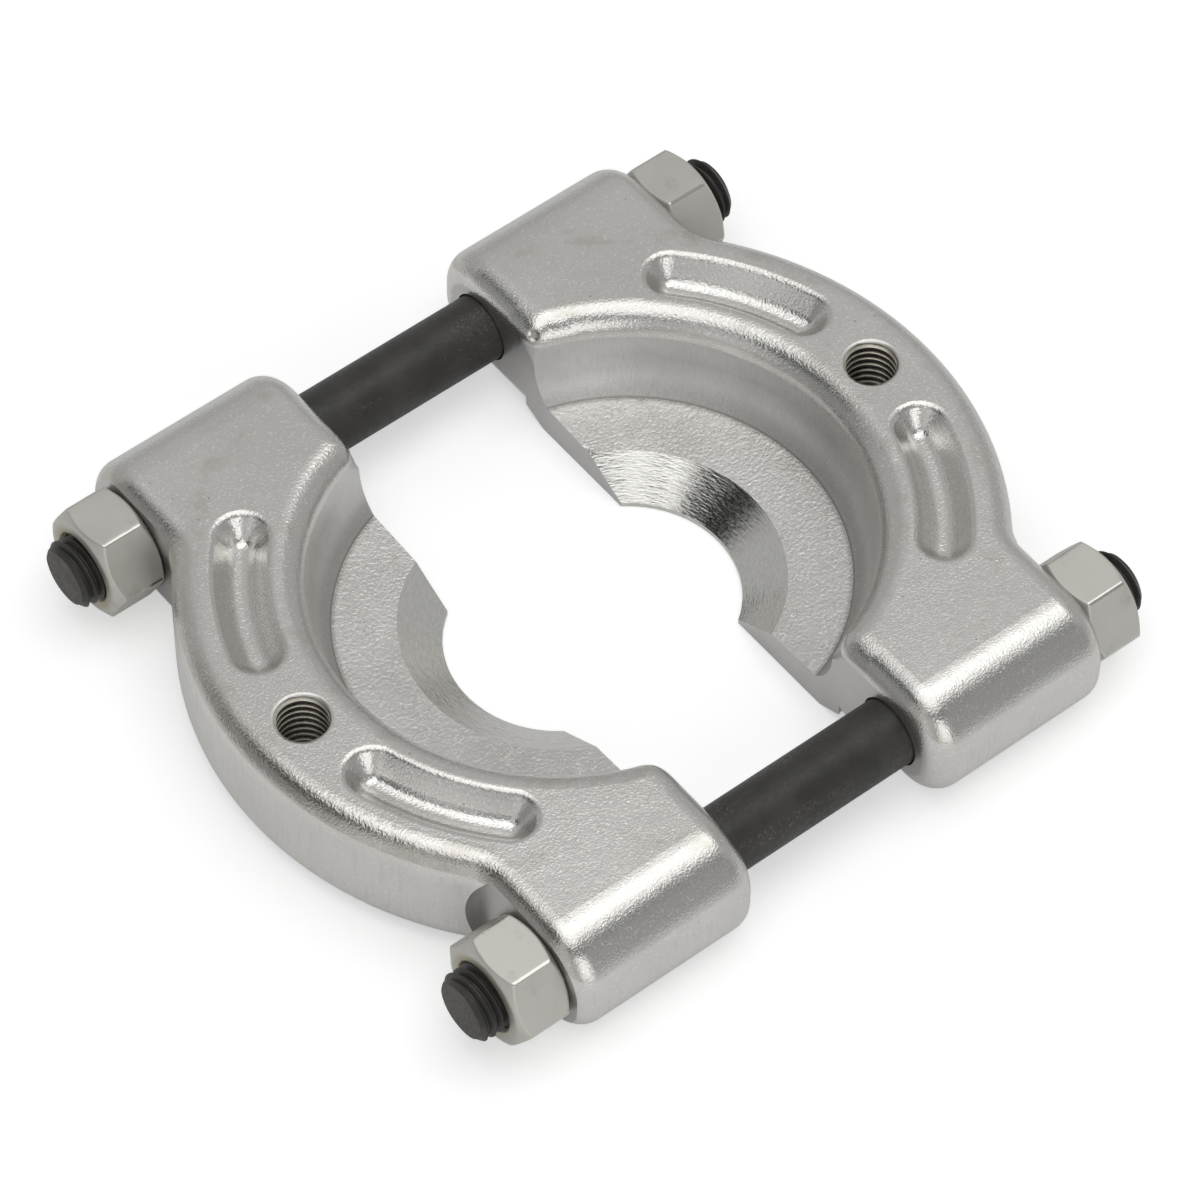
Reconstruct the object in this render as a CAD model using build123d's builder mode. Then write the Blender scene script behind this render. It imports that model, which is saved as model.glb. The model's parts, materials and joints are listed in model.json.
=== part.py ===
from build123d import *

import math
import os

# Bearing separator: two half-ring jaws slide on two studs and are drawn together by four nuts.
# X runs along the studs, Y across them and Z up, with the recessed side of the jaws on top.
# The origin lies midway between the jaws, level with the flat pads that they rest on.

# Studs and nuts, mm and degrees
stud_diameter = 12.0
stud_length = 135.0
stud_shift = {"front": -0.4, "rear": 0.4}
stud_bore_clearance = 0.3
stud_end_chamfer = 1.0
thread_pitch = 1.5
thread_spare = 1.8
nut_flats = 18.0
nut_height = 10.0
nut_end_gap = 4.1
nut_floor_gap = 0.3
nut_seat_gap = 0.02
nut_bore_clearance = 0.05
nut_mouth_excess = 0.5
nut_face_setback = 0.6
nut_bevel_angle = 34.0
nut_turns = {"left_front": 3.5, "left_rear": -2.5, "right_front": 1.0, "right_rear": -3.5}

# Half rings, from the bore out to the wall, mm and degrees
jaw_height = 22.0
under_height = 2.1
foot_allowance = 1.6
ring_offset = 10.7
ring_width = 21.5
bore_radius = 18.7
lip_height = 0.9
cone_height = 5.7
floor_width = 10.6
floor_height = 6.4
recess_radius = 40.4
foot_inset = 3.8
cove_depth = 9.0
wall_draft = 6.0
rim_radius = 4.8
pad_inset = 2.8
pad_slope_run = 4.6

# Bosses round the studs, mm
boss_length = 36.2
boss_wall = 6.0
boss_bury = 1.4
boss_heel_radius = 8.6
boss_side_rise = 2.5
stud_wall = 6.3
corner_blend = 9.0
edge_radius = 4.5
seat_depth = 0.9
seat_margin = 4.1

# Tapped holes and grooves on top of the ring, mm and degrees
screw_minor_diameter = 8.5
screw_hole_chamfer = 0.8
groove_inner_land = 0.25
groove_outer_land = 1.3
groove_lip_width = 0.7
groove_depth = 3.9
groove_floor_width = 2.7
groove_floor_flat = 0.3
groove_start = 17.3
groove_end = 43.5

# The bores and nuts set where the studs lie
stud_bore_radius = stud_diameter / 2 + stud_bore_clearance
thread_radius = stud_diameter / 2 - 0.3 * thread_pitch
nut_corner = nut_flats / math.sqrt(3)
stud_height = nut_corner + nut_floor_gap
stud_y = recess_radius + stud_wall + stud_bore_radius

# The jaws stand as far apart as they can with each nut a little short of its stud's end
opening = stud_length - 2 * (boss_length - seat_depth + nut_seat_gap + nut_height + nut_end_gap)
split_x = opening / 2
ring_axis_x = split_x - ring_offset
boss_middle_x = split_x + boss_length / 2
boss_end_x = split_x + boss_length
seat_x = boss_end_x - seat_depth
seat_radius = nut_corner + seat_margin
thread_length = split_x + nut_height + nut_end_gap + thread_spare

# Radii of the ring and heights of its recess
ring_radius = recess_radius + ring_width
pad_radius = recess_radius - pad_inset
floor_radius = recess_radius - foot_inset
cone_radius = floor_radius - floor_width
wall_slope = math.tan(math.radians(wall_draft))
wall_height = jaw_height - rim_radius * (1 - math.sin(math.radians(wall_draft)))
cove_height = jaw_height - cove_depth
cove_radius = recess_radius - (wall_height - cove_height) * wall_slope
rim_end_radius = recess_radius + rim_radius * math.cos(math.radians(wall_draft))

# The blank's foot lies below the underside, which is milled up to its own height. The bosses reach
# into the ring where its wall meets their ends.
foot_height = under_height - foot_allowance
boss_outer_y = stud_y + stud_bore_radius + boss_wall
boss_inner_y = math.sqrt(ring_radius ** 2 - (ring_offset + boss_length) ** 2) - boss_bury
boss_shoulder = jaw_height - foot_height - boss_heel_radius - boss_side_rise

# The grooves fill the land between the rim and the ring's rounded edge, with the hole in line. Their
# sides slope down to the floor, which is rounded but for a narrow flat along its middle.
groove_inner_radius = rim_end_radius + groove_inner_land + groove_lip_width
groove_outer_radius = ring_radius - edge_radius - groove_outer_land - groove_lip_width
groove_width = groove_outer_radius - groove_inner_radius
groove_radius = (groove_inner_radius + groove_outer_radius) / 2
groove_side_angle = math.degrees(math.atan((groove_width - groove_floor_width) / 2 / groove_depth))
groove_turn = math.tan(math.radians((90 - groove_side_angle) / 2))
groove_lip = groove_lip_width / groove_turn
groove_root = (groove_floor_width - groove_floor_flat) / 2 / groove_turn
screw_x = ring_axis_x + groove_radius

ring_plane = Plane(origin=(ring_axis_x, 0, 0), x_dir=(-1, 0, 0), z_dir=(0, 1, 0))
ring_axis = Axis((ring_axis_x, 0, 0), (0, 0, 1))
touch = 0.01

os.makedirs("parts", exist_ok=True)


def corner_edge(edge):
    """True for the upright corners where the ring's outer wall meets the end of a boss."""
    middle = edge.center()
    return abs(middle.X - boss_end_x) < touch and abs(middle.Y) < stud_y


def die_edge(edge):
    """True for the edges round the split face and round the outer wall, which the die leaves round."""
    box = edge.bounding_box()
    along_stud = box.size.Y < touch and box.size.Z < touch
    upright = box.size.X < touch and box.size.Y < touch
    return not along_stud and not (upright and abs(box.min.Y) < stud_y)


# Right-hand jaw: a turned ring, cut short of its middle, with a boss for each stud
with BuildPart() as jaw_right:
    with BuildSketch(ring_plane):
        with Locations((0, (foot_height + jaw_height) / 2)):
            Rectangle(ring_radius, jaw_height - foot_height, align=(Align.MIN, Align.CENTER))
    revolve(axis=ring_axis)
    with Locations((split_x, 0, 0)):
        Box(
            ring_radius,
            2 * (stud_y - stud_bore_radius),
            jaw_height,
            align=(Align.MIN, Align.CENTER, Align.MIN),
            mode=Mode.INTERSECT,
        )

    # Bosses, rounded above and below on their outer sides
    with BuildSketch(Plane.YZ.offset(split_x)):
        with BuildLine():
            heel_centre = (boss_outer_y - boss_heel_radius, foot_height + boss_heel_radius)
            shoulder_centre = (boss_outer_y - boss_shoulder, jaw_height - boss_shoulder)
            heel = CenterArc(heel_centre, boss_heel_radius, -90, 90)
            shoulder = CenterArc(shoulder_centre, boss_shoulder, 0, 90)
            under = Line((boss_inner_y, foot_height), heel @ 0)
            Line(heel @ 1, shoulder @ 0)
            top = Line(shoulder @ 1, (boss_inner_y, jaw_height))
            Line(top @ 1, under @ 0)
        make_face()
        mirror(about=Plane.YZ)
    extrude(amount=boss_length)

    # Forging radii, then the underside milled off the blank
    fillet(jaw_right.edges().filter_by(Axis.Z).filter_by(corner_edge), corner_blend)
    split_edges = jaw_right.edges().filter_by(die_edge).filter_by(lambda e: e.center().X < boss_middle_x)
    fillet(split_edges, edge_radius)
    outer_edges = jaw_right.edges().filter_by(die_edge).filter_by(lambda e: e.center().X > boss_middle_x)
    fillet(outer_edges, edge_radius)
    split(bisect_by=Plane.XY.offset(under_height), keep=Keep.TOP)

    # Flat pad under the recess, standing proud of the rest
    with BuildSketch(ring_plane):
        Polygon(
            (0, 0),
            (pad_radius, 0),
            (pad_radius + pad_slope_run, under_height),
            (pad_radius + pad_slope_run, foot_height + edge_radius),
            (0, foot_height + edge_radius),
            align=None,
        )
    revolve(axis=ring_axis, mode=Mode.ADD)
    split(bisect_by=Plane.YZ.offset(split_x), keep=Keep.TOP)

    # Recess: rounded rim, steep wall with a hollow foot, flat floor, then the cone down to the thin lip
    with BuildSketch(ring_plane):
        with BuildLine():
            Polyline(
                (0, -rim_radius),
                (bore_radius, -rim_radius),
                (bore_radius, lip_height),
                (cone_radius, cone_height),
                (floor_radius, floor_height),
            )
            TangentArc((cove_radius, cove_height), (floor_radius, floor_height), tangent=(-wall_slope, -1))
            Line((cove_radius, cove_height), (recess_radius, wall_height))
            RadiusArc((recess_radius, wall_height), (rim_end_radius, jaw_height), rim_radius)
            Polyline(
                (rim_end_radius, jaw_height),
                (rim_end_radius + rim_radius, jaw_height + rim_radius),
                (0, jaw_height + rim_radius),
                (0, -rim_radius),
            )
        make_face()
    revolve(axis=ring_axis, mode=Mode.SUBTRACT)

    # Curved grooves, one each side of the tapped hole
    with BuildSketch(Plane.XY.offset(jaw_height)):
        with BuildLine():
            groove_line = CenterArc((ring_axis_x, 0), groove_radius, groove_start, groove_end - groove_start)
        SlotArc(groove_line, groove_width)
        mirror(about=Plane.XZ)
    extrude(amount=-groove_depth, taper=groove_side_angle, mode=Mode.SUBTRACT)
    groove_floors = jaw_right.faces().filter_by(Plane.XY).group_by(Axis.Z)[-2]
    fillet(groove_floors.edges(), groove_root)
    groove_mouths = jaw_right.faces().filter_by(Plane.XY).sort_by(Axis.Z)[-1].inner_wires()
    fillet(groove_mouths.edges(), groove_lip)

    # Tapped hole for the puller, drawn at the thread's minor diameter
    with BuildSketch(Plane.XY.offset(jaw_height)):
        with Locations((screw_x, 0)):
            Circle(screw_minor_diameter / 2)
    extrude(amount=-jaw_height, mode=Mode.SUBTRACT)
    for mouth, depth in ((jaw_height, -screw_hole_chamfer), (under_height, screw_hole_chamfer)):
        with BuildSketch(Plane.XY.offset(mouth)):
            with Locations((screw_x, 0)):
                Circle(screw_minor_diameter / 2 + screw_hole_chamfer)
        extrude(amount=depth, taper=45, mode=Mode.SUBTRACT)

    # Bores for the studs and the flat seats that the nuts press on
    with BuildSketch(Plane.YZ.offset(split_x)):
        with Locations((stud_y, stud_height), (-stud_y, stud_height)):
            Circle(stud_bore_radius)
    extrude(amount=boss_length, mode=Mode.SUBTRACT)
    with BuildSketch(Plane.YZ.offset(seat_x)):
        with Locations((stud_y, stud_height), (-stud_y, stud_height)):
            Circle(seat_radius)
    extrude(amount=ring_radius, mode=Mode.SUBTRACT)
jaw_right.part.label = "jaw_right"
export_step(jaw_right.part, "parts/jaw_right.step")

# Left-hand jaw: the same forging turned half round, so the mirror image across the split
with BuildPart() as jaw_left:
    add(mirror(jaw_right.part, about=Plane.YZ))
jaw_left.part.label = "jaw_left"
export_step(jaw_left.part, "parts/jaw_left.step")

# Studs: plain shank between two threaded ends, which are drawn at the thread's mean diameter
for row, y in (("front", -stud_y), ("rear", stud_y)):
    stud_middle = (stud_shift[row], y, stud_height)
    with BuildPart() as stud:
        with BuildSketch(Plane(origin=stud_middle, x_dir=(1, 0, 0), z_dir=(0, -1, 0))):
            with BuildLine():
                stud_end = stud_length / 2
                shank_end = stud_end - thread_length
                run_out = stud_diameter / 2 - thread_radius
                Polyline(
                    (0, 0),
                    (stud_end, 0),
                    (stud_end, thread_radius - stud_end_chamfer),
                    (stud_end - stud_end_chamfer, thread_radius),
                    (shank_end + run_out, thread_radius),
                    (shank_end, stud_diameter / 2),
                    (0, stud_diameter / 2),
                    (0, 0),
                )
            make_face()
            mirror(about=Plane.YZ)
        revolve(axis=Axis(stud_middle, (1, 0, 0)))
    stud.part.label = "stud_" + row
    export_step(stud.part, "parts/stud_%s.step" % row)

# Nuts: hexagons bevelled at both ends, each turned as it happens to stand on its stud
nut_face_radius = nut_flats / 2 - nut_face_setback
nut_bevel = (nut_corner - nut_face_radius) * math.tan(math.radians(nut_bevel_angle))
nut_bore_radius = thread_radius + nut_bore_clearance
nut_mouth_radius = stud_diameter / 2 + nut_mouth_excess
nut_mouth_depth = nut_mouth_radius - nut_bore_radius
for side_name, side in (("left", -1), ("right", 1)):
    for row, y in (("front", -stud_y), ("rear", stud_y)):
        place = side_name + "_" + row
        near_face = (side * (seat_x + nut_seat_gap), y, stud_height)
        with BuildPart() as nut:
            with BuildSketch(Plane(origin=near_face, x_dir=(0, 1, 0), z_dir=(side, 0, 0))):
                RegularPolygon(nut_corner, 6, rotation=side * nut_turns[place])
            extrude(amount=nut_height)
            with BuildSketch(Plane(origin=near_face, x_dir=(side, 0, 0), z_dir=(0, -side, 0))):
                Polygon(
                    (0, nut_mouth_radius),
                    (0, nut_face_radius),
                    (nut_bevel, nut_corner),
                    (nut_height - nut_bevel, nut_corner),
                    (nut_height, nut_face_radius),
                    (nut_height, nut_mouth_radius),
                    (nut_height - nut_mouth_depth, nut_bore_radius),
                    (nut_mouth_depth, nut_bore_radius),
                    align=None,
                )
            revolve(axis=Axis(near_face, (side, 0, 0)), mode=Mode.INTERSECT)
        nut.part.label = "nut_" + place
        export_step(nut.part, "parts/nut_%s.step" % place)
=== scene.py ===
import json
import math

import bmesh
import bpy
from mathutils import Matrix, Vector


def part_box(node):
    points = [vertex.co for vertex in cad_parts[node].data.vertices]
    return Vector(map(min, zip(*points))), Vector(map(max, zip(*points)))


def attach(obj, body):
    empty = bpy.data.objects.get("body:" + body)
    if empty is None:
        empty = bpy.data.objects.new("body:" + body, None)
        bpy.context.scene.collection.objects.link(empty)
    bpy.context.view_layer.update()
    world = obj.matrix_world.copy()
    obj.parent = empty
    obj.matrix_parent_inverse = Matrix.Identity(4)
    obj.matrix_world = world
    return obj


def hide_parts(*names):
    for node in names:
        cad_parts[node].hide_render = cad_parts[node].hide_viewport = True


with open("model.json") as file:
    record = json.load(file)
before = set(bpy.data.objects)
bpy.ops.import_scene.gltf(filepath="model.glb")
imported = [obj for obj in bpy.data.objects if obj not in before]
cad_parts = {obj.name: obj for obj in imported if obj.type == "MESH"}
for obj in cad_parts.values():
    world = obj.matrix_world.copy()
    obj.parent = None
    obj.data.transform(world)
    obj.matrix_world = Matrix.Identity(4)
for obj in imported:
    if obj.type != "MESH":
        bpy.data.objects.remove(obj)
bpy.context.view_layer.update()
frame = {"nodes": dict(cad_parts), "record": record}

# Sizes in metres, in the frame of the part
mm = 0.001

# Ring of the jaws: the axis lies this far inside the split face
ring_offset = 10.7 * mm
cone_radius = 26.0 * mm
floor_radius = 36.6 * mm
recess_radius = 40.4 * mm
floor_height = 6.4 * mm
rim_radius = 4.8 * mm
wall_draft = math.radians(6)
under_height = 2.1 * mm
seat_depth = 0.9 * mm
boss_length = 36.2 * mm
split_edge_radius = 4.5 * mm
corner_reach = 3.2 * mm

# The room in which the rim's ends are divided, the longest edge left there and how many times edges halve
corner_depth = 7.5 * mm
corner_width = 7 * mm
corner_from = 35.5 * mm
corner_to = 46 * mm
corner_edge = 0.6 * mm
corner_halvings = 7

jaw_low, jaw_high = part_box("jaw_right")
split_x = jaw_low.x
jaw_top = jaw_high.z
ring_axis_x = split_x - ring_offset
seat_x = split_x + boss_length - seat_depth
wall_height = jaw_top - rim_radius * (1 - math.sin(wall_draft))
stud_low, stud_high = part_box("stud_rear")
stud_y = (stud_low.y + stud_high.y) / 2
stud_z = (stud_low.z + stud_high.z) / 2
screw_mount = next(m for m in frame["record"]["mounts"] if m["name"] == "screw_hole_right")
screw_x = screw_mount["pos_m"][0]

# Threads: flats on the crests, a 60 degree groove, and a rounded root
pitch = 1.5 * mm
flank_angle = math.radians(30)
screw_major = 5.0 * mm
screw_minor = 4.25 * mm
screw_mouth = 5.05 * mm
nut_mouth = 6.5 * mm
stud_minor = 5.08 * mm
nut_minor = 5.19 * mm
thread_clearance = 0.03 * mm
stud_thread_length = 33.98 * mm
stud_end_face = 4.9 * mm
columns = 72
seam = 0.05 * mm
weld = 0.002 * mm
ring_step = 0.2 * seam
kept_normal = "kept_normal"


def thread_profile(major, minor):
    """Phase and radius down one pitch, starting at the edge of the outer flat."""
    flat = 1 / 16
    foot = flat + (major - minor) * math.tan(flank_angle) / pitch
    middle = (flat + foot) / 2
    half_way = (major + minor) / 2
    return [
        (-flat, major),
        (flat, major),
        (middle, half_way),
        (foot, minor),
        (1 - foot, minor),
        (1 - middle, half_way),
    ]


def finer(profile, step):
    """The same profile with points added, none farther apart than a share of the pitch."""
    made = []
    for index, (phase, radius) in enumerate(profile):
        if index + 1 < len(profile):
            next_phase, next_radius = profile[index + 1]
        else:
            next_phase, next_radius = profile[0][0] + 1, profile[0][1]
        parts = math.ceil((next_phase - phase) / step)
        for part in range(parts):
            share = part / parts
            made.append((phase + share * (next_phase - phase), radius + share * (next_radius - radius)))
    return made


def helix_wall(profile, place, origin, start, end, limit):
    """A right-hand thread's surface between two heights, as a mesh that is open at both ends.

    place(angle, along, radius) gives a point, origin is where the thread's phase is nought, and
    limit(along, radius) cuts the thread off at chamfers and run-outs."""
    rows = []
    for turn in range(math.floor((start - origin) / pitch) - 2, math.ceil((end - origin) / pitch) + 2):
        for phase, radius in profile:
            rows.append((origin + (turn + phase) * pitch, radius))
    made = bmesh.new()
    grid = []
    for along, radius in rows:
        ring = []
        for column in range(columns):
            share = column / columns
            height = along + share * pitch
            ring.append(made.verts.new(place(2 * math.pi * share, height, limit(height, radius))))
        grid.append(ring)
    step = len(profile)
    for row in range(len(grid) - 1):
        for column in range(columns):
            if column < columns - 1:
                beside = (row, column + 1)
            else:
                beside = (row + step, 0)
            if beside[0] + 1 < len(grid):
                made.faces.new((
                    grid[row][column],
                    grid[beside[0]][beside[1]],
                    grid[beside[0] + 1][beside[1]],
                    grid[row + 1][column],
                ))
    axis = place(0, 1, 0) - place(0, 0, 0)
    for height, outward in ((start, -axis), (end, axis)):
        bmesh.ops.bisect_plane(
            made,
            geom=made.verts[:] + made.edges[:] + made.faces[:],
            plane_co=place(0, height, 0),
            plane_no=outward,
            dist=1e-8,
            clear_outer=True,
        )
    return made


def append(target, source):
    """Adds one bmesh to another."""
    carrier = bpy.data.meshes.new("carrier")
    source.to_mesh(carrier)
    source.free()
    target.from_mesh(carrier)
    bpy.data.meshes.remove(carrier)


def open_rings(shell, height_of):
    """The shell's boundary vertices, in groups of one height."""
    rings = {}
    for edge in shell.edges:
        if edge.is_boundary:
            for vert in edge.verts:
                rings.setdefault(round(height_of(vert.co) / ring_step), set()).add(vert)
    return rings


def zip_rings(shell, one, other, angle_of):
    """Joins two rings of vertices round the same axis with triangles."""
    first = sorted(one, key=lambda v: angle_of(v.co))
    second = sorted(other, key=lambda v: angle_of(v.co))
    first_angles = [angle_of(v.co) for v in first]
    second_angles = [angle_of(v.co) for v in second]
    i = 0
    j = 0
    made = []
    while i < len(first) or j < len(second):
        next_first = first_angles[i] if i < len(first) else math.inf
        next_second = second_angles[j] if j < len(second) else math.inf
        before_first = first[i - 1]
        before_second = second[j - 1]
        if next_first <= next_second:
            corners = (before_first, first[i], before_second)
            i += 1
        else:
            corners = (before_first, second[j], before_second)
            j += 1
        made.append(shell.faces.new(corners))
    return made


def join_ends(shell, height_of, angle_of, start, end):
    """Joins a thread's open ends to the rings that wait for them one seam further out."""
    rings = open_rings(shell, height_of)
    for edge_height, wall_end in ((start, start + seam), (end, end - seam)):
        outer = rings[round(edge_height / ring_step)]
        inner = rings[round(wall_end / ring_step)]
        zip_rings(shell, outer, inner, angle_of)


def finished_piece(name, shell, body, sharp_degrees):
    """Turns a bmesh into an object that rides on a body.

    Corners that came from a solid keep its exact normals, and new ones get theirs from the mesh."""
    mesh = bpy.data.meshes.new(name)
    shell.to_mesh(mesh)
    shell.free()
    mesh.polygons.foreach_set("use_smooth", [True] * len(mesh.polygons))
    mesh.set_sharp_from_angle(angle=math.radians(sharp_degrees))
    kept = mesh.attributes.get(kept_normal)
    if kept:
        normals = [
            item.vector.normalized() if item.vector.length > 0.1 else own.vector.copy()
            for item, own in zip(kept.data, mesh.corner_normals)
        ]
        mesh.attributes.remove(kept)
        mesh.normals_split_custom_set(normals)
    piece = bpy.data.objects.new(name, mesh)
    bpy.context.scene.collection.objects.link(piece)
    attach(piece, body)
    return piece


def along_x(axis_y, axis_z):
    """Functions for a thread along X: the point, a point's height and a point's angle."""
    def place(angle, along, radius):
        return Vector((along, axis_y + radius * math.cos(angle), axis_z + radius * math.sin(angle)))

    def height_of(point):
        return point.x

    def angle_of(point):
        return math.atan2(point.z - axis_z, point.y - axis_y)

    return place, height_of, angle_of


def along_z(axis_x, axis_y):
    """The same for a thread along Z."""
    def place(angle, along, radius):
        return Vector((axis_x + radius * math.cos(angle), axis_y + radius * math.sin(angle), along))

    def height_of(point):
        return point.z

    def angle_of(point):
        return math.atan2(point.y - axis_y, point.x - axis_x)

    return place, height_of, angle_of


def cut_thread(shell, axes, reach, profile, origin, start, end, mouth):
    """Takes away the plain wall of a hole and puts a threaded one with rounded mouths in its place."""
    place, height_of, angle_of = axes
    roll_depth = mouth - min(radius for _, radius in profile)

    def within(vert):
        foot = place(0, height_of(vert.co), 0)
        return (vert.co - foot).length < mouth + reach

    def rolled(inset):
        """The mouth's radius at a distance in: a quarter round from the rim down to the crests."""
        share = min(max(1 - inset / roll_depth, 0.0), 1.0)
        return mouth - roll_depth * math.sqrt(1 - share * share)

    plain = [f for f in shell.faces if all(within(v) for v in f.verts)]
    bmesh.ops.delete(shell, geom=plain, context="FACES")

    def limit(along, radius):
        return max(radius, rolled(along - start), rolled(end - along))

    known = set(shell.faces)
    append(shell, helix_wall(profile, place, origin, start + seam, end - seam, limit))
    join_ends(shell, height_of, angle_of, start, end)
    return [f for f in shell.faces if f not in known]


def node_shell(node):
    """A copy of a solid's mesh with its seams welded, which remembers the solid's normals."""
    mesh = frame["nodes"][node].data.copy()
    normals = [component for corner in mesh.corner_normals for component in corner.vector]
    mesh.attributes.new(kept_normal, "FLOAT_VECTOR", "CORNER").data.foreach_set("vector", normals)
    shell = bmesh.new()
    shell.from_mesh(mesh)
    bpy.data.meshes.remove(mesh)
    bmesh.ops.remove_doubles(shell, verts=shell.verts[:], dist=weld)
    return shell


# Camera, worked out from the photograph
photo_size = 1200
focal_pixels = 6287.98
azimuth = math.radians(-38.7153)
elevation = math.radians(52.9233)
roll = math.radians(0.388)
distance = 1028.21 * mm
target = Vector((3.28 * mm, 2.26 * mm, 0))


def make_camera():
    data = bpy.data.cameras.new("camera")
    data.sensor_width = 36
    data.lens = focal_pixels / photo_size * data.sensor_width
    data.clip_start = 0.05
    data.clip_end = 50
    camera = bpy.data.objects.new("camera", data)
    bpy.context.scene.collection.objects.link(camera)
    back = Vector((
        math.sin(azimuth) * math.cos(elevation),
        -math.cos(azimuth) * math.cos(elevation),
        math.sin(elevation),
    ))
    level = Vector((math.cos(azimuth), math.sin(azimuth), 0))
    upright = back.cross(level)
    right = math.cos(roll) * level + math.sin(roll) * upright
    up = -math.sin(roll) * level + math.cos(roll) * upright
    camera.matrix_world = Matrix.Translation(target + back * distance) @ Matrix((
        (right.x, up.x, back.x, 0),
        (right.y, up.y, back.y, 0),
        (right.z, up.z, back.z, 0),
        (0, 0, 0, 1),
    ))
    bpy.context.scene.camera = camera


# Lamps: place, point aimed at, size and brightness of each panel
panels = (
    ("overhead", (-0.125, -0.10, 1.0), (-0.125, -0.10, 0.0), (0.95, 0.96), 1.12),
    ("overhead_bright", (0.49, -0.06, 1.0), (0.49, -0.06, 0.0), (0.28, 0.6), 1.5),
    ("front_card", (-0.37, -1.36, 0.62), (0.0, 0.0, 0.62), (1.0, 1.2), 1.0),
)


def make_lights():
    for name, position, aim, size, radiance in panels:
        data = bpy.data.lights.new(name, "AREA")
        data.shape = "RECTANGLE"
        data.size = size[0]
        data.size_y = size[1]
        data.energy = radiance * math.pi * size[0] * size[1]
        lamp = bpy.data.objects.new(name, data)
        bpy.context.scene.collection.objects.link(lamp)
        lamp.location = position
        lamp.rotation_mode = "QUATERNION"
        lamp.rotation_quaternion = (Vector(aim) - Vector(position)).to_track_quat("-Z", "Y")


class Nodes:
    """Short words for adding shader nodes to a tree."""

    def __init__(self, tree):
        self.tree = tree
        tree.nodes.clear()

    def add(self, kind, inputs=None, **settings):
        node = self.tree.nodes.new(kind)
        for key, value in settings.items():
            setattr(node, key, value)
        for key, value in (inputs or {}).items():
            self.feed(node.inputs[key], value)
        return node

    def feed(self, socket, value):
        if isinstance(value, bpy.types.NodeSocket):
            self.tree.links.new(value, socket)
        else:
            socket.default_value = value

    def position(self):
        return self.add("ShaderNodeTexCoord").outputs["Object"]

    def noise(self, vector, scale, detail=2.0, roughness=0.5):
        wanted = {"Vector": vector, "Scale": scale, "Detail": detail, "Roughness": roughness}
        return self.add("ShaderNodeTexNoise", wanted).outputs["Fac"]

    def calc(self, operation, first, second):
        return self.add("ShaderNodeMath", {0: first, 1: second}, operation=operation).outputs[0]

    def length(self, first, second):
        """Distance from nought of a point given by two numbers."""
        point = self.add("ShaderNodeCombineXYZ", {0: first, 1: second}).outputs[0]
        return self.add("ShaderNodeVectorMath", {0: point}, operation="LENGTH").outputs["Value"]

    def scaled(self, vector, factors):
        wanted = {0: vector, 1: factors}
        return self.add("ShaderNodeVectorMath", wanted, operation="MULTIPLY").outputs[0]

    def ramp(self, value, low, high, to_low=0.0, to_high=1.0):
        wanted = {"Value": value, "From Min": low, "From Max": high, "To Min": to_low, "To Max": to_high}
        return self.add("ShaderNodeMapRange", wanted, interpolation_type="SMOOTHSTEP").outputs[0]

    def blend(self, share, first, second):
        node = self.add("ShaderNodeMix", data_type="RGBA")
        self.feed(node.inputs["Factor"], share)
        self.feed(node.inputs[6], first)
        self.feed(node.inputs[7], second)
        return node.outputs[2]

    def bump(self, height, depth, normal=None):
        wanted = {"Height": height, "Distance": depth, "Strength": 1.0}
        if normal is not None:
            wanted["Normal"] = normal
        return self.add("ShaderNodeBump", wanted).outputs["Normal"]


def new_material(name):
    material = bpy.data.materials.new(name)
    material.use_nodes = True
    return material, Nodes(material.node_tree)


def surface(nodes, colour, roughness, normal, metallic=1.0):
    wanted = {"Base Color": colour, "Roughness": roughness, "Metallic": metallic, "Normal": normal}
    shader = nodes.add("ShaderNodeBsdfPrincipled", wanted)
    output = nodes.add("ShaderNodeOutputMaterial")
    nodes.feed(output.inputs["Surface"], shader.outputs[0])


def ring_place(nodes):
    """Radius from the ring's axis, angle round it and height, for either jaw."""
    place = nodes.add("ShaderNodeSeparateXYZ", {0: nodes.position()})
    across = nodes.calc("SUBTRACT", nodes.calc("ABSOLUTE", place.outputs[0], 0.0), ring_axis_x)
    radius = nodes.length(across, place.outputs[1])
    angle = nodes.calc("ARCTAN2", place.outputs[1], across)
    return radius, angle, place.outputs[2]


def band(nodes, value, low, high, soft):
    """One between two values, fading to nought outside them."""
    rise = nodes.ramp(value, low - soft, low)
    fall = nodes.ramp(value, high + soft, high)
    return nodes.calc("MULTIPLY", rise, fall)


def lean(nodes):
    """How far a surface faces right and up, from the mesh's own normal."""
    facing = nodes.add("ShaderNodeTexCoord").outputs["Normal"]
    parts = nodes.add("ShaderNodeSeparateXYZ", {0: facing})
    return parts.outputs[0], parts.outputs[2]


def near(nodes, place, point, reach, soft):
    """One within a distance of a point, fading to nought outside it."""
    apart = nodes.add("ShaderNodeVectorMath", {0: place, 1: point}, operation="DISTANCE").outputs["Value"]
    return nodes.ramp(apart, reach + soft, reach)


# Tan of real stains, also used for the painted reflection on the rounds that face the left
tan_stain_and_reflection = (0.46, 0.425, 0.36, 1)

# The grooves lie between these radii from the ring's axis
groove_inner = 47.5 * mm
groove_outer = 58.0 * mm

# Marks on the right jaw: a nick where the recess's floor meets the split face, and a dent at a rim end
nick_point = (18.1 * mm, 23.8 * mm, floor_height)
dent_point = (19.2 * mm, 40.1 * mm, 19.8 * mm)


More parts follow.
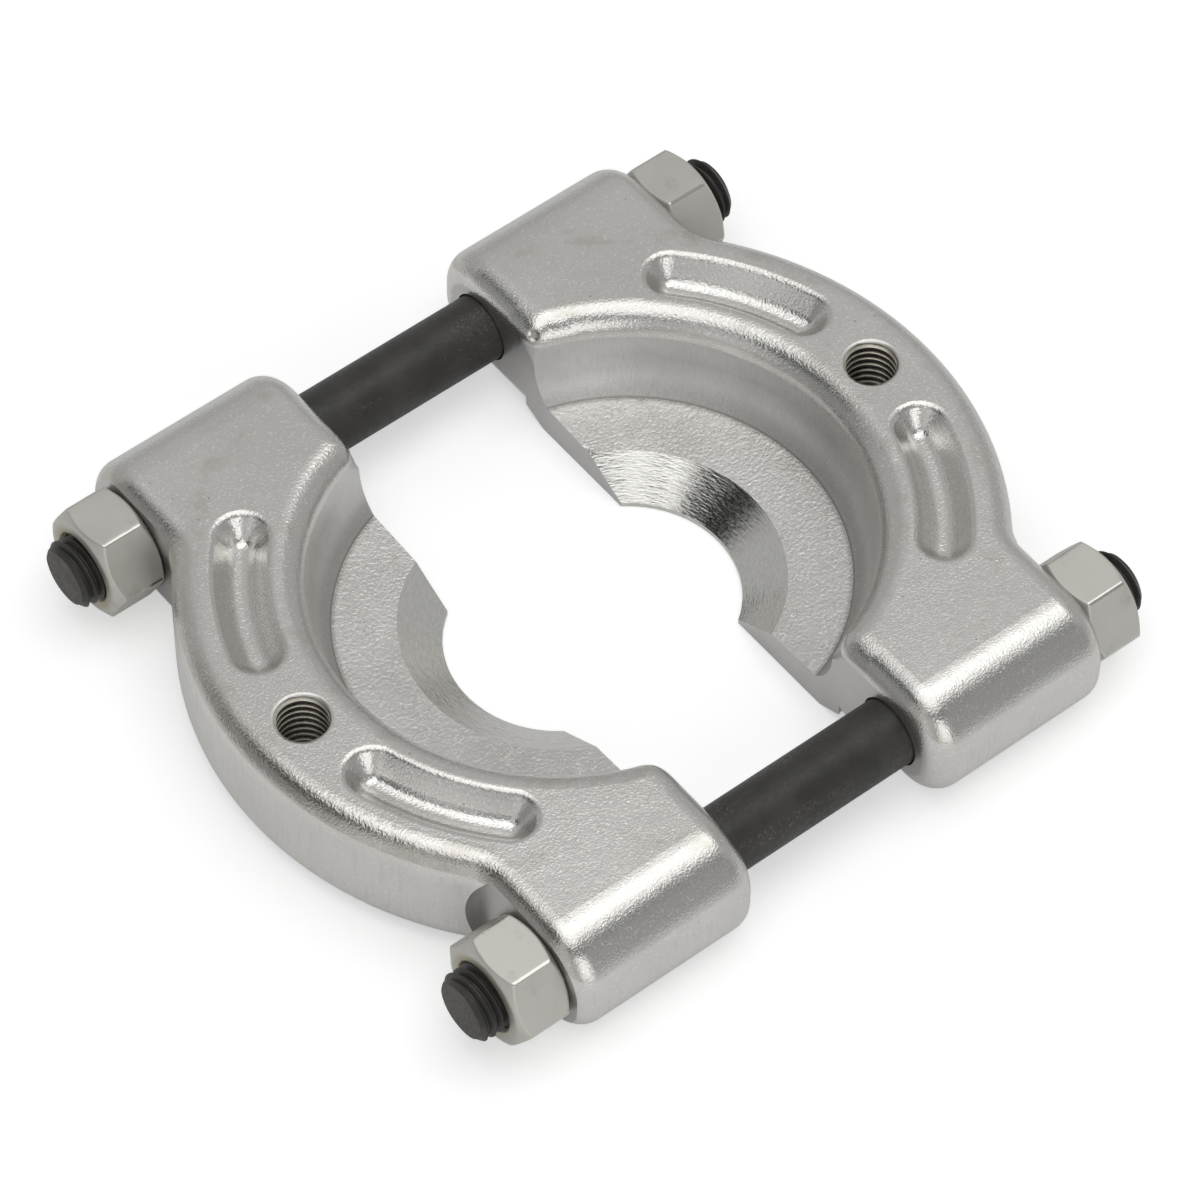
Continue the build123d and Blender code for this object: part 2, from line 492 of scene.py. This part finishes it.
def forged_zinc():
    """Bright zinc over a forged skin: a sandy grain, strongest on the ring's rounds, and tan edges, with
    painted shade on the rounds and in the dent, painted light in the grooves and a painted tan reflection on
    the rounds that face the left.
    """
    material, nodes = new_material("forged_zinc")
    place = nodes.position()
    radius, _, height = ring_place(nodes)
    facing_x, facing_z = lean(nodes)
    coarse = nodes.noise(place, 2100, 1.0, 0.5)
    fine = nodes.noise(place, 3100, 1.0, 0.5)
    swell = nodes.noise(place, 300, 2.0)
    cloud = nodes.noise(place, 70, 3.0, 0.6)

    # Painted shade: the rounds are a little darker, which makes up for the strength of their highlights
    rounds = band(nodes, facing_z, 0.45, 0.93, 0.06)
    colour = nodes.blend(nodes.ramp(cloud, 0.3, 0.7), (0.66, 0.646, 0.617, 1), (0.70, 0.69, 0.663, 1))
    colour = nodes.blend(nodes.calc("MULTIPLY", rounds, 0.8), colour, (0.58, 0.572, 0.548, 1))
    specks = nodes.ramp(nodes.noise(place, 2300, 1.0), 0.58, 0.74, 0.0, 0.5)
    colour = nodes.blend(specks, colour, (0.90, 0.89, 0.86, 1))

    # Painted light: the grooves are written paler, for the light their walls throw at one another
    hollow = band(nodes, radius, groove_inner, groove_outer, 0.5 * mm)
    hollow = nodes.calc("MULTIPLY", hollow, nodes.ramp(height, 21.8 * mm, 21.3 * mm))
    hollow = nodes.calc("MULTIPLY", hollow, nodes.ramp(height, 16.0 * mm, 16.5 * mm))
    colour = nodes.blend(nodes.calc("MULTIPLY", hollow, 0.3), colour, (0.80, 0.79, 0.765, 1))

    # Tan stains on the top by the ring's two edges, and a painted tan reflection on the outer rounds that
    # face the left
    edge = band(nodes, radius, 57.5 * mm, 60.0 * mm, 1.2 * mm)
    rim = band(nodes, radius, 43.2 * mm, 44.6 * mm, 1.0 * mm)
    # Painted reflection: the outer rounds that face the left are tinted tan by their direction
    left_round_reflection = nodes.calc("MULTIPLY", rounds, nodes.ramp(facing_x, -0.2, -0.55))
    left_round_reflection = nodes.calc("MULTIPLY", left_round_reflection, nodes.ramp(radius, 58.0 * mm, 59.0 * mm))
    streaks = nodes.ramp(nodes.noise(place, 130, 3.0, 0.65), 0.48, 0.68)
    share = nodes.calc("MULTIPLY", nodes.calc("MAXIMUM", edge, rim), streaks)
    share = nodes.calc("MULTIPLY", share, nodes.ramp(height, 19.0 * mm, 20.8 * mm, 0.0, 0.35))
    patches = nodes.ramp(nodes.noise(place, 210, 3.0, 0.65), 0.35, 0.65, 0.1, 0.5)
    share = nodes.calc("MAXIMUM", share, nodes.calc("MULTIPLY", left_round_reflection, patches))
    colour = nodes.blend(share, colour, tan_stain_and_reflection)

    # Faint upright streaks on the steep sides
    upright = nodes.scaled(place, (1.0, 1.0, 0.12))
    drawn = nodes.ramp(nodes.noise(upright, 1100, 3.0, 0.6), 0.52, 0.68, 0.0, 0.16)
    steep = nodes.ramp(nodes.calc("ABSOLUTE", facing_z, 0.0), 0.35, 0.15)
    colour = nodes.blend(nodes.calc("MULTIPLY", steep, drawn), colour, (0.42, 0.41, 0.40, 1))

    # A few dark pits, and the dent, darkened in colour as painted shade
    cells = nodes.add("ShaderNodeTexVoronoi", {"Vector": place, "Scale": 220.0}).outputs["Distance"]
    pits = nodes.ramp(cells, 0.050, 0.030, 0.0, 0.5)
    dent = near(nodes, place, dent_point, 0.5 * mm, 0.8 * mm)
    dark = nodes.calc("MAXIMUM", pits, nodes.calc("MULTIPLY", dent, 0.4))
    colour = nodes.blend(dark, colour, (0.22, 0.19, 0.16, 1))

    normal = nodes.bump(swell, 0.05 * mm)
    normal = nodes.bump(nodes.calc("SUBTRACT", 1.0, dent), 0.4 * mm, normal)
    grained = nodes.calc("MAXIMUM", rounds, nodes.calc("MULTIPLY", hollow, 0.9))
    # The bosses are smoother than the ring
    out = nodes.calc("ABSOLUTE", nodes.add("ShaderNodeSeparateXYZ", {0: place}).outputs[1], 0.0)
    calm = nodes.ramp(out, 44.0 * mm, 51.0 * mm, 1.0, 0.45)
    coarse_depth = nodes.calc("MULTIPLY", nodes.ramp(grained, 0.0, 1.0, 0.036 * mm, 0.060 * mm), calm)
    normal = nodes.bump(coarse, coarse_depth, normal)
    normal = nodes.bump(fine, nodes.ramp(grained, 0.0, 1.0, 0.030 * mm, 0.044 * mm), normal)
    roughness = nodes.ramp(grained, 0.0, 1.0, 0.27, 0.25)
    surface(nodes, colour, roughness, normal)
    return material


def floor_zinc():
    """The recess's floor: a livelier grain with short raised hairs, and turning marks near the cone."""
    material, nodes = new_material("floor_zinc")
    place = nodes.position()
    radius, angle, _ = ring_place(nodes)
    hairs = nodes.add(
        "ShaderNodeTexNoise",
        {"Vector": place, "Scale": 1050.0, "Detail": 3.0, "Roughness": 0.6, "Distortion": 0.9},
    ).outputs["Fac"]
    ridge = nodes.ramp(nodes.calc("ABSOLUTE", nodes.calc("SUBTRACT", hairs, 0.5), 0.0), 0.05, 0.0)
    patches = nodes.ramp(nodes.noise(place, 420, 2.0), 0.42, 0.62)
    ridge = nodes.calc("MULTIPLY", ridge, patches)
    grain = nodes.noise(place, 1700, 1.0, 0.5)
    cloud = nodes.noise(place, 90, 3.0, 0.6)
    turned = nodes.calc("MULTIPLY", angle, 0.004)
    stretched = nodes.add("ShaderNodeCombineXYZ", {0: turned, 1: radius}).outputs[0]
    marks = nodes.noise(stretched, 1900, 3.0, 0.6)
    marked = nodes.ramp(radius, 33.0 * mm, 27.0 * mm, 0.0, 0.5)
    colour = nodes.blend(nodes.ramp(cloud, 0.3, 0.7), (0.625, 0.615, 0.585, 1), (0.685, 0.675, 0.65, 1))
    colour = nodes.blend(nodes.calc("MULTIPLY", ridge, 0.22), colour, (0.88, 0.87, 0.84, 1))
    relief = nodes.calc("ADD", grain, nodes.calc("MULTIPLY", ridge, 0.3))
    relief = nodes.calc("ADD", relief, nodes.calc("MULTIPLY", marks, marked))
    along_edge = nodes.scaled(place, (1.0, 0.4, 1.0))
    nick_middle = (nick_point[0], 0.4 * nick_point[1], nick_point[2])
    nick = near(nodes, along_edge, nick_middle, 0.6 * mm, 0.4 * mm)
    nick = nodes.calc("MULTIPLY", nick, nodes.ramp(grain, 0.3, 0.6, 0.45, 1.0))
    colour = nodes.blend(nick, colour, (0.25, 0.24, 0.21, 1))
    # Painted shade: darker in the crease where the floor meets the wall
    crease = nodes.ramp(radius, 35.7 * mm, 36.5 * mm, 0.0, 0.6)
    colour = nodes.blend(crease, colour, (0.30, 0.29, 0.27, 1))
    normal = nodes.bump(relief, 0.08 * mm)
    normal = nodes.bump(nodes.calc("SUBTRACT", 1.0, nick), 0.25 * mm, normal)
    surface(nodes, colour, nodes.ramp(cloud, 0.3, 0.7, 0.29, 0.35), normal)
    return material


def wall_zinc():
    """The recess's wall: satin, with upright streaks, and painted shade: a darker grainy foot and a dark
    line in the crease.
    """
    material, nodes = new_material("wall_zinc")
    place = nodes.position()
    _, angle, height = ring_place(nodes)
    turned = nodes.calc("MULTIPLY", angle, 0.04)
    risen = nodes.calc("MULTIPLY", height, 0.2)
    stretched = nodes.add("ShaderNodeCombineXYZ", {0: turned, 1: risen}).outputs[0]
    streaks = nodes.noise(stretched, 2100, 3.0, 0.6)
    grain = nodes.noise(place, 2700, 2.0, 0.6)
    cloud = nodes.noise(place, 110, 3.0, 0.6)
    colour = nodes.blend(nodes.ramp(cloud, 0.3, 0.7), (0.67, 0.66, 0.645, 1), (0.73, 0.72, 0.705, 1))
    colour = nodes.blend(nodes.ramp(streaks, 0.45, 0.7, 0.0, 0.4), colour, (0.60, 0.59, 0.575, 1))
    # Painted shade: darker towards the foot, and a dark line in the crease
    foot = nodes.ramp(height, 10.0 * mm, 7.0 * mm, 0.0, 0.5)
    foot = nodes.calc("MULTIPLY", foot, nodes.ramp(grain, 0.35, 0.6, 1.0, 0.7))
    crease = nodes.ramp(height, 6.9 * mm, 6.5 * mm, 0.0, 0.8)
    colour = nodes.blend(nodes.calc("MAXIMUM", foot, crease), colour, (0.27, 0.26, 0.24, 1))
    normal = nodes.bump(streaks, 0.03 * mm)
    normal = nodes.bump(grain, nodes.ramp(height, 14.0 * mm, 17.5 * mm, 0.07 * mm, 0.11 * mm), normal)
    surface(nodes, colour, nodes.ramp(height, 8.0 * mm, 16.0 * mm, 0.46, 0.38), normal)
    return material


def plain_zinc():
    """Zinc over a milled face: finer, flatter and a little darker."""
    material, nodes = new_material("plain_zinc")
    place = nodes.position()
    grain = nodes.noise(place, 1500, 2.0, 0.55)
    cloud = nodes.noise(place, 90, 3.0, 0.6)
    colour = nodes.blend(nodes.ramp(cloud, 0.3, 0.7), (0.535, 0.525, 0.52, 1), (0.60, 0.59, 0.585, 1))
    surface(nodes, colour, nodes.ramp(cloud, 0.3, 0.7, 0.28, 0.36), nodes.bump(grain, 0.03 * mm))
    return material


def turned_zinc():
    """Zinc over the turned cone: rough marks run round the ring's axis, broken into short streaks."""
    material, nodes = new_material("turned_zinc")
    radius, angle, _ = ring_place(nodes)
    turned = nodes.calc("MULTIPLY", angle, 0.005)
    stretched = nodes.add("ShaderNodeCombineXYZ", {0: turned, 1: radius}).outputs[0]
    marks = nodes.noise(stretched, 3300, 2.0, 0.6)
    coarse = nodes.noise(stretched, 900, 2.0, 0.5)
    colour = nodes.blend(nodes.ramp(marks, 0.3, 0.7), (0.61, 0.605, 0.57, 1), (0.70, 0.69, 0.665, 1))
    normal = nodes.bump(coarse, 0.03 * mm)
    normal = nodes.bump(marks, 0.045 * mm, normal)
    surface(nodes, colour, nodes.ramp(marks, 0.3, 0.7, 0.13, 0.19), normal)
    return material


def threaded_zinc():
    """A tapped hole: pale yellowish mouth and crests, dark brown between the crests from a little way in,
    and crests darker deeper in as painted shade.
    """
    material, nodes = new_material("threaded_zinc")
    position = nodes.position()
    place = nodes.add("ShaderNodeSeparateXYZ", {0: position})
    across = nodes.calc("SUBTRACT", nodes.calc("ABSOLUTE", place.outputs[0], 0.0), screw_x)
    radius = nodes.length(across, place.outputs[1])
    depth = nodes.calc("SUBTRACT", jaw_top, place.outputs[2])
    grain = nodes.noise(position, 1800, 3.0, 0.6)
    cloud = nodes.noise(position, 500, 3.0, 0.6)
    deep = nodes.ramp(depth, 0.9 * mm, 2.2 * mm)
    crest = nodes.ramp(radius, screw_minor + 0.28 * mm, screw_minor + 0.06 * mm)
    brown = nodes.blend(nodes.ramp(cloud, 0.35, 0.65), (0.050, 0.043, 0.036, 1), (0.105, 0.093, 0.075, 1))
    # Painted shade: the crests grow darker deeper into the hole
    pale = nodes.blend(nodes.ramp(depth, 1.0 * mm, 12.0 * mm), (0.50, 0.47, 0.41, 1), (0.19, 0.175, 0.15, 1))
    inside = nodes.blend(crest, brown, pale)
    mouth = nodes.blend(nodes.ramp(cloud, 0.35, 0.65), (0.52, 0.49, 0.42, 1), (0.62, 0.60, 0.53, 1))
    mouth = nodes.blend(nodes.ramp(depth, 0.15 * mm, 0.45 * mm), (0.64, 0.63, 0.605, 1), mouth)
    colour = nodes.blend(deep, mouth, inside)
    surface(nodes, colour, nodes.ramp(grain, 0.3, 0.7, 0.30, 0.42), nodes.bump(grain, 0.02 * mm))
    return material


def black_oxide():
    """Blackened steel of the studs: faint grey specks in lengthwise streaks along the shank, and brown on
    the cut ends.
    """
    material, nodes = new_material("black_oxide")
    position = nodes.position()
    place = nodes.add("ShaderNodeSeparateXYZ", {0: position})
    grain = nodes.noise(position, 1500, 3.0, 0.6)
    cloud = nodes.noise(position, 150, 3.0, 0.65)
    lengthwise = nodes.scaled(position, (0.18, 1.0, 1.0))
    lengthwise_streaks = nodes.ramp(nodes.noise(lengthwise, 330, 2.0, 0.5), 0.50, 0.68)
    grey_specks = nodes.ramp(nodes.noise(position, 2400, 3.0, 0.7), 0.50, 0.72)
    share = nodes.calc("MULTIPLY", nodes.calc("MULTIPLY", grey_specks, lengthwise_streaks), 0.75)
    colour = nodes.blend(nodes.ramp(cloud, 0.35, 0.7), (0.023, 0.0215, 0.019, 1), (0.038, 0.0355, 0.0315, 1))
    colour = nodes.blend(share, colour, (0.17, 0.165, 0.155, 1))
    out = nodes.calc("ABSOLUTE", place.outputs[0], 0.0)
    end = nodes.ramp(out, 66.6 * mm, 67.3 * mm, 0.0, 0.55)
    end = nodes.calc("MULTIPLY", end, nodes.ramp(cloud, 0.35, 0.6))
    colour = nodes.blend(end, colour, (0.065, 0.052, 0.040, 1))
    roughness = nodes.ramp(grain, 0.3, 0.7, 0.40, 0.56)
    surface(nodes, colour, roughness, nodes.bump(grain, 0.03 * mm), 0.0)
    return material


def nut_zinc():
    """Smoother zinc of the nuts, faintly green, with a tan bloom round the bore."""
    material, nodes = new_material("nut_zinc")
    position = nodes.position()
    place = nodes.add("ShaderNodeSeparateXYZ", {0: position})
    grain = nodes.noise(position, 1500, 3.0, 0.55)
    cloud = nodes.noise(position, 110, 3.0, 0.6)
    stretched = nodes.scaled(position, (0.25, 1.0, 1.0))
    drawn = nodes.noise(stretched, 420, 3.0, 0.6)
    colour = nodes.blend(nodes.ramp(cloud, 0.3, 0.7), (0.585, 0.578, 0.535, 1), (0.63, 0.623, 0.58, 1))
    from_stud = nodes.calc("SUBTRACT", nodes.calc("ABSOLUTE", place.outputs[1], 0.0), stud_y)
    rise = nodes.calc("SUBTRACT", place.outputs[2], stud_z)
    radius = nodes.length(from_stud, rise)
    smudges = nodes.ramp(nodes.noise(position, 240, 3.0, 0.6), 0.56, 0.72, 0.0, 0.35)
    colour = nodes.blend(smudges, colour, (0.44, 0.43, 0.385, 1))
    bloom = nodes.ramp(radius, 8.4 * mm, 6.5 * mm)
    bloom = nodes.calc("MULTIPLY", bloom, nodes.ramp(cloud, 0.35, 0.6, 0.3, 0.8))
    colour = nodes.blend(bloom, colour, (0.45, 0.39, 0.26, 1))
    normal = nodes.bump(drawn, 0.04 * mm)
    normal = nodes.bump(grain, 0.02 * mm, normal)

    # The corners are rubbed bright
    worn = nodes.ramp(radius, 10.14 * mm, 10.24 * mm)
    satin = nodes.ramp(cloud, 0.3, 0.7, 0.52, 0.58)
    surface(nodes, colour, nodes.ramp(worn, 0.0, 1.0, satin, 0.24), normal)
    return material


# The finishes of a jaw's faces
FORGED, PLAIN, TURNED, THREADED, FLOOR, WALL = range(6)


def jaw_region(face):
    """The finish of a jaw's face, from its place and direction."""
    tiny = 0.03 * mm
    centre = face.calc_center_median()
    normal = face.normal
    side = abs(centre.x)
    inward = math.copysign(1, centre.x)
    radius = math.hypot(side - ring_axis_x, centre.y)
    towards_axis = -(normal.x * inward * (side - ring_axis_x) + normal.y * centre.y) / radius
    on_plane_x = abs(side - split_x) < tiny or abs(side - seat_x) < tiny
    if on_plane_x and abs(normal.x) > 0.9:
        return PLAIN
    if centre.z < under_height + tiny and normal.z < -0.3:
        return PLAIN
    if radius < cone_radius + tiny and normal.z > -0.5:
        return TURNED
    if radius < floor_radius + tiny and normal.z > 0.95:
        return FLOOR
    if radius < recess_radius + tiny and centre.z < wall_height + tiny and towards_axis > 0.2:
        return WALL
    return FORGED


def rim_end_shape(point):
    """How far a point is outside the rim's round and the split edge's round, and which way each faces."""
    side = math.copysign(1, point.x)
    across = abs(point.x) - ring_axis_x
    radius = math.hypot(across, point.y)
    rim_middle = recess_radius + rim_radius * math.cos(wall_draft)
    rim_way = Vector((-side * across, -point.y, 0)) / radius * max(rim_middle - radius, 0)
    rim_way.z = max(point.z - (jaw_top - rim_radius), 0)
    edge_way = Vector((-side * max(split_edge_radius - (abs(point.x) - split_x), 0), 0, 0))
    edge_way.z = max(point.z - (jaw_top - split_edge_radius), 0)
    rim_gap = rim_way.length - rim_radius
    edge_gap = edge_way.length - split_edge_radius
    return rim_gap, edge_gap, rim_way.normalized(), edge_way.normalized()


def soften_rim_ends(shell):
    """Rounds the corners where the rim runs out at the split face, as the forging leaves them."""
    def close(point):
        return (
            point.z > jaw_top - corner_depth
            and abs(point.x) < split_x + corner_width
            and corner_from < abs(point.y) < corner_to
        )

    def crosses(edge):
        start, end = (vert.co for vert in edge.verts)
        return any(close(start.lerp(end, share)) for share in (0.03, 0.2, 0.35, 0.5, 0.65, 0.8, 0.97))

    for _ in range(corner_halvings):
        long_edges = [e for e in shell.edges if e.calc_length() > corner_edge and crosses(e)]
        bmesh.ops.subdivide_edges(shell, edges=long_edges, cuts=1)
        bmesh.ops.remove_doubles(shell, verts=shell.verts[:], dist=weld)
        bmesh.ops.triangulate(shell, faces=[f for f in shell.faces if len(f.verts) > 3])

    normal_layer = shell.loops.layers.float_vector[kept_normal]
    moves = []
    for vert in shell.verts:
        if not close(vert.co):
            continue
        rim_gap, edge_gap, rim_way, edge_way = rim_end_shape(vert.co)
        fade = min(max((vert.co.z - (jaw_top - 7 * mm)) / (2.5 * mm), 0.0), 1.0)
        reach = corner_reach * min(2 * (1 - rim_way.dot(edge_way)), 1.0) * fade
        apart = abs(rim_gap - edge_gap)
        if apart >= reach:
            continue
        share = 0.5 + 0.5 * (rim_gap - edge_gap) / reach
        way = share * rim_way + (1 - share) * edge_way
        depth = (reach - apart) ** 2 / (4 * reach)
        moves.append((vert, way * (-depth / way.length_squared)))
        for loop in vert.link_loops:
            loop[normal_layer] = way.normalized()
    for vert, move in moves:
        vert.co += move


def make_jaw(side_name, side, materials):
    node = "jaw_" + side_name
    shell = node_shell(node)
    bmesh.ops.recalc_face_normals(shell, faces=shell.faces[:])
    for face in shell.faces:
        face.material_index = jaw_region(face)
    soften_rim_ends(shell)
    axes = along_z(side * screw_x, 0.0)
    profile = finer(thread_profile(screw_major, screw_minor), 0.07)
    thread = cut_thread(shell, axes, 0.02 * mm, profile, 0.0, under_height, jaw_top, screw_mouth)
    for face in thread:
        face.material_index = THREADED
    bmesh.ops.recalc_face_normals(shell, faces=shell.faces[:])
    piece = finished_piece(side_name + "_jaw", shell, node + "_body", 24)
    for material in materials:
        piece.data.materials.append(material)
    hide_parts(node)
    return piece


def make_stud(row, material):
    node = "stud_" + row
    low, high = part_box(node)
    middle = (low + high) / 2
    major = (high.z - low.z) / 2
    half = (high.x - low.x) / 2
    shank_half = half - stud_thread_length
    axes = along_x(middle.y, middle.z)
    place, height_of, angle_of = axes

    def limit(along, radius):
        out = abs(along - middle.x)
        radius = max(radius, major - 0.6 * max(0.0, out - shank_half))
        return min(radius, major, stud_end_face + max(0.0, half - out))

    profile = thread_profile(major, stud_minor)
    shell = bmesh.new()
    inner = shank_half - pitch / 2
    append(shell, helix_wall(profile, place, middle.x, middle.x - half, middle.x - inner, limit))
    append(shell, helix_wall(profile, place, middle.x, middle.x + inner, middle.x + half, limit))
    rings = open_rings(shell, height_of)
    keys = sorted(rings)
    zip_rings(shell, rings[keys[1]], rings[keys[2]], angle_of)
    for key, height in ((keys[0], middle.x - half), (keys[3], middle.x + half)):
        centre = shell.verts.new(place(0, height, 0))
        ring = sorted(rings[key], key=lambda v: angle_of(v.co))
        for index, vert in enumerate(ring):
            shell.faces.new((ring[index - 1], vert, centre))
    bmesh.ops.recalc_face_normals(shell, faces=shell.faces[:])
    piece = finished_piece(row + "_stud", shell, "studs", 35)
    piece.data.materials.append(material)
    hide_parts(node)
    return piece


# Nuts: sizes of the solid nut, and how far its corners and edges are rounded
nut_half_flats = 9.0 * mm
nut_face_radius = 8.4 * mm
nut_bevel_angle = math.radians(34)
nut_corner_round = 0.5 * mm
nut_edge_round = 0.35 * mm
nut_columns = 180


def hexagon_radius(turn):
    """A hexagon's radius with rounded corners, at an angle from one of them."""
    off_corner = (turn + math.pi / 6) % (math.pi / 3) - math.pi / 6
    off_flat = math.pi / 6 - abs(off_corner)
    tangent = math.atan((nut_half_flats - nut_corner_round) * math.tan(math.pi / 6) / nut_half_flats)
    if off_flat < tangent:
        return nut_half_flats / math.cos(off_flat)
    centre = (nut_half_flats - nut_corner_round) / math.cos(math.pi / 6)
    aside = centre * math.sin(off_corner)
    return centre * math.cos(off_corner) + math.sqrt(nut_corner_round ** 2 - aside ** 2)


def smaller_of(first, second, blend):
    """The smaller of two radii, rounded off where they meet."""
    overlap = max(blend - abs(first - second), 0.0) / blend
    return min(first, second) - overlap * overlap * blend / 4


def make_nut(side_name, row, material):
    node = "nut_%s_%s" % (side_name, row)
    stud_low, stud_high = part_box("stud_" + row)
    stud_middle = (stud_low + stud_high) / 2
    stud_major = (stud_high.z - stud_low.z) / 2
    low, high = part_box(node)
    axes = along_x(stud_middle.y, stud_middle.z)
    place, height_of, angle_of = axes
    corners = [v.co for v in frame["nodes"][node].data.vertices]
    farthest = max(corners, key=lambda p: math.hypot(p.y - stud_middle.y, p.z - stud_middle.z))
    first_corner = angle_of(farthest)

    # Distance in from an end face, and how far the surface draws back there
    rows = [(0.0, 0.30), (0.03, 0.15), (0.10, 0.05), (0.20, 0.0)]
    rows += [(0.20 + 0.10 * step, 0.0) for step in range(1, 15)]
    rows += [(1.9, 0.0), (2.4, 0.0), (3.2, 0.0), (4.2, 0.0)]
    stations = [(low.x + inset * mm, inset * mm, back * mm) for inset, back in rows]
    stations += [(high.x - inset * mm, inset * mm, back * mm) for inset, back in reversed(rows)]

    shell = bmesh.new()
    rings = []
    for along, inset, back in stations:
        ring = []
        for column in range(nut_columns):
            angle = 2 * math.pi * column / nut_columns
            bevel = nut_face_radius + inset / math.tan(nut_bevel_angle)
            radius = smaller_of(hexagon_radius(angle - first_corner), bevel, nut_edge_round) - back
            ring.append(shell.verts.new(place(angle, along, radius)))
        rings.append(ring)
    mouths = []
    for along in (low.x, high.x):
        turns = [2 * math.pi * column / nut_columns for column in range(nut_columns)]
        mouths.append([shell.verts.new(place(turn, along, nut_mouth)) for turn in turns])
    rings = [mouths[0]] + rings + [mouths[1]]
    for one, other in zip(rings, rings[1:]):
        for column in range(nut_columns):
            shell.faces.new((one[column - 1], one[column], other[column], other[column - 1]))

    external = thread_profile(stud_major, stud_minor)
    profile = [(phase, max(radius + thread_clearance, nut_minor)) for phase, radius in external]

    def limit(along, radius):
        return max(radius, nut_mouth - (along - low.x), nut_mouth - (high.x - along))

    append(shell, helix_wall(profile, place, stud_middle.x, low.x + seam, high.x - seam, limit))
    join_ends(shell, height_of, angle_of, low.x, high.x)
    bmesh.ops.recalc_face_normals(shell, faces=shell.faces[:])
    piece = finished_piece("%s_%s_nut" % (side_name, row), shell, node + "_body", 35)
    piece.data.materials.append(material)
    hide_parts(node)
    return piece


# How far the floor is lifted towards white for the camera, and in reflections
floor_lift = 0.46
mirrored_lift = 0.12


def make_floor():
    """Pale floor, white where the camera sees it in the open, which still takes the part's shadow."""
    material, nodes = new_material("floor")
    matt = nodes.add("ShaderNodeBsdfDiffuse", {"Color": (0.78, 0.78, 0.78, 1)})
    path = nodes.add("ShaderNodeLightPath")
    mirrored = nodes.calc("MAXIMUM", path.outputs["Is Glossy Ray"], path.outputs["Is Transmission Ray"])
    mirrored = nodes.calc("MULTIPLY", mirrored, mirrored_lift)
    seen = nodes.calc("MULTIPLY_ADD", path.outputs["Is Camera Ray"], floor_lift)
    nodes.feed(seen.node.inputs[2], mirrored)
    lift = nodes.add("ShaderNodeEmission", {"Color": (1, 1, 1, 1), "Strength": seen})
    both = nodes.add("ShaderNodeAddShader", {0: matt.outputs[0], 1: lift.outputs[0]})
    output = nodes.add("ShaderNodeOutputMaterial")
    nodes.feed(output.inputs["Surface"], both.outputs[0])
    half = 4.0
    shell = bmesh.new()
    signs = ((-1, -1), (1, -1), (1, 1), (-1, 1))
    corners = [shell.verts.new((x * half, y * half, -0.05 * mm)) for x, y in signs]
    shell.faces.new(corners)
    mesh = bpy.data.meshes.new("floor")
    shell.to_mesh(mesh)
    shell.free()
    mesh.materials.append(material)
    floor = bpy.data.objects.new("floor", mesh)
    bpy.context.scene.collection.objects.link(floor)


# Surroundings: even light, with sectors of the studio that are lighter or darker. Each has its range
# of directions in degrees round Z, its lowest and highest rise, and its brightness.
even_light = 0.53
sectors = (
    ("west wall", (-176, -152), (-0.1, 0.84), 0.74),
    ("gap below the box", (-158, -48), (0.70, 0.88), 0.03),
    ("south-east wall", (-82, -40), (-0.1, 0.74), 0.40),
    ("north-west wall", (132, 168), (-0.1, 0.60), 0.33),
    ("north-west opening", (136, 176), (0.60, 0.90), 0.02),
)


def make_world():
    world = bpy.data.worlds.new("studio")
    bpy.context.scene.world = world
    world.use_nodes = True
    nodes = Nodes(world.node_tree)
    towards = nodes.add("ShaderNodeSeparateXYZ", {0: nodes.add("ShaderNodeTexCoord").outputs["Generated"]})
    turn = nodes.calc("ARCTAN2", towards.outputs[1], towards.outputs[0])
    strength = even_light
    for _, (first, last), (low, high), brightness in sectors:
        share = band(nodes, turn, math.radians(first), math.radians(last), math.radians(7))
        share = nodes.calc("MULTIPLY", share, band(nodes, towards.outputs[2], low, high, 0.05))
        strength = nodes.ramp(share, 0.0, 1.0, strength, brightness)
    background = nodes.add("ShaderNodeBackground", {"Color": (1, 1, 1, 1), "Strength": strength})
    output = nodes.add("ShaderNodeOutputWorld")
    nodes.feed(output.inputs["Surface"], background.outputs[0])


bpy.context.scene.view_settings.view_transform = "Standard"
make_camera()
make_lights()
make_world()
make_floor()

jaw_materials = [forged_zinc(), plain_zinc(), turned_zinc(), threaded_zinc(), floor_zinc(), wall_zinc()]
for side_name, side in (("left", -1), ("right", 1)):
    make_jaw(side_name, side, jaw_materials)
stud_material = black_oxide()
nut_material = nut_zinc()
for row in ("front", "rear"):
    make_stud(row, stud_material)
    for side_name in ("left", "right"):
        make_nut(side_name, row, nut_material)
